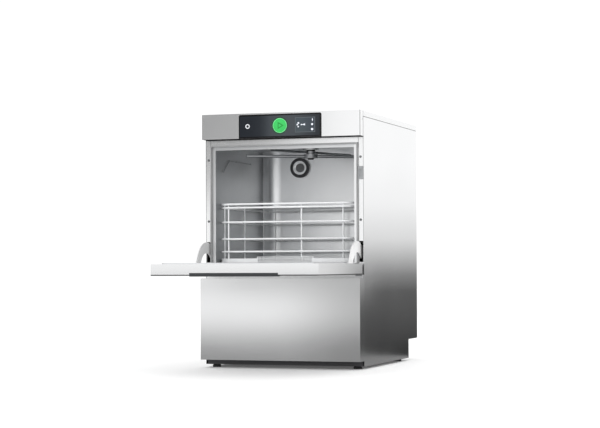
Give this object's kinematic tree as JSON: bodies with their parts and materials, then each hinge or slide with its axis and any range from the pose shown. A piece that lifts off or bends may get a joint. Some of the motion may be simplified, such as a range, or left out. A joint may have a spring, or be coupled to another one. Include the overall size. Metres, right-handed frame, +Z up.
{
  "type": "undercounter glasswasher",
  "caption": "Free-standing undercounter commercial dishwasher with a drop-down door, a sliding wire rack, rotating wash and rinse arms and a glass control strip.",
  "frame": {"origin": "on the floor, in the middle of the footprint that the machine takes with its door open", "axes": "+Z up; the machine's front looks along -Y; +X is to the right of a person who stands in front of it"},
  "size_m": [0.46, 0.934, 0.7],
  "materials": {
    "panel_steel": "fine vertical brushed grain, satin",
    "chamber_steel": "dull cold-rolled stainless, slightly water marked",
    "bright_steel": "smooth stainless tube, semi bright",
    "plinth_steel": "dark matt coating",
    "dark_glass": "near-black blue glass front, high gloss",
    "display": "blue-grey display window, gloss",
    "start_green": "lit bright green disc",
    "icon_white": "white printed ring",
    "button_dark": "dark gloss",
    "handle_dark": "dark grey moulded strip",
    "arm_light": "light grey coated steel",
    "rack_white": "white plastic coating on wire",
    "seal_rubber": "matt black rubber",
    "foot_rubber": "matt black rubber",
    "catch_grey": "mid grey moulded plastic",
    "screw_steel": "small steel heads",
    "bracket_steel": "zinc-grey steel",
    "spring_steel": "spring steel",
    "board_green": "solder-mask green",
    "motor_grey": "dark grey painted housing",
    "pipe_black": "black hose and pipe",
    "pump_white": "off-white moulded plastic",
    "brass_fitting": "turned brass",
    "black_plastic": "black moulded plastic"
  },
  "bodies": {
    "cabinet": {"base_tray": "plinth_steel", "feet": "foot_rubber", "lower_front_panel": "panel_steel", "side_panel_left": "panel_steel", "side_panel_right": "panel_steel", "rear_panel": "panel_steel", "connection_plate": "panel_steel", "top_lid": "panel_steel", "front_frame": "panel_steel", "control_fascia": "panel_steel", "control_glass": "dark_glass", "control_board": "board_green", "display_screen": "display", "button_bezels": "icon_white", "chamber_left_wall": "chamber_steel", "chamber_right_wall": "chamber_steel", "chamber_back_wall": "chamber_steel", "chamber_ceiling": "chamber_steel", "wash_tank": "chamber_steel", "door_gasket": "seal_rubber", "rack_rails": "bright_steel", "sensor_wire": "bright_steel", "panel_screws": "screw_steel", "door_catch": "catch_grey", "hinge_brackets": "bracket_steel", "door_springs": "spring_steel", "tank_strainer": "bright_steel", "filter_cylinder": "bright_steel", "overflow_pipe": "pump_white", "tank_heater": "bracket_steel", "upper_hub": "bright_steel", "lower_hub": "bright_steel", "arm_nuts": "black_plastic", "wash_pump": "motor_grey", "wash_pipes": "pipe_black", "rinse_boiler": "bright_steel", "rinse_pipes": "bright_steel", "drain_pump": "black_plastic", "dosing_pumps": "motor_grey", "inlet_valve": "pump_white", "water_inlet": "brass_fitting", "drain_outlet": "black_plastic", "cable_gland": "black_plastic"},
    "door": {"door_outer_panel": "panel_steel", "door_inner_liner": "chamber_steel", "door_handle": "handle_dark", "hinge_arm_left": "arm_light", "hinge_arm_right": "arm_light", "hinge_pins": "bracket_steel"},
    "rack": {"rack_front": "rack_white", "rack_back": "rack_white", "rack_sides": "rack_white", "rack_floor": "rack_white", "rack_skirts": "rack_white"},
    "start_button": {"start_button": "start_green"},
    "power_button": {"power_button": "button_dark"},
    "upper_wash_arm": {"upper_wash_arm": "bright_steel"},
    "upper_rinse_arm": {"upper_rinse_arm": "bright_steel"},
    "lower_wash_arm": {"lower_wash_arm": "bright_steel"},
    "lower_rinse_arm": {"lower_rinse_arm": "bright_steel"}
  },
  "joints": [
    {"name": "door_hinge", "type": "hinge", "parent": "cabinet", "child": "door", "pos_m": [0, -0.109, 0.27], "axis": [-1, 0, 0], "range_deg": [0, 90], "deforming": ["door_springs"]},
    {"name": "rack_slide", "type": "slide", "parent": "cabinet", "child": "rack", "axis": [0, 1, 0], "range_m": [-0.34, 0]},
    {"name": "upper_wash_spin", "type": "hinge", "parent": "cabinet", "child": "upper_wash_arm", "pos_m": [0, 0.155, 0.6], "axis": [0, 0, 1], "continuous": true},
    {"name": "upper_rinse_spin", "type": "hinge", "parent": "cabinet", "child": "upper_rinse_arm", "pos_m": [0, 0.155, 0.6], "axis": [0, 0, 1], "continuous": true},
    {"name": "lower_wash_spin", "type": "hinge", "parent": "cabinet", "child": "lower_wash_arm", "pos_m": [0, 0.155, 0.26], "axis": [0, 0, 1], "continuous": true},
    {"name": "lower_rinse_spin", "type": "hinge", "parent": "cabinet", "child": "lower_rinse_arm", "pos_m": [0, 0.155, 0.26], "axis": [0, 0, 1], "continuous": true},
    {"name": "start_press", "type": "slide", "parent": "cabinet", "child": "start_button", "axis": [0, 1, 0], "range_m": [0, 0.0015], "stiffness_N_per_m": 600},
    {"name": "power_press", "type": "slide", "parent": "cabinet", "child": "power_button", "axis": [0, 1, 0], "range_m": [0, 0.0015], "stiffness_N_per_m": 600}
  ]
}
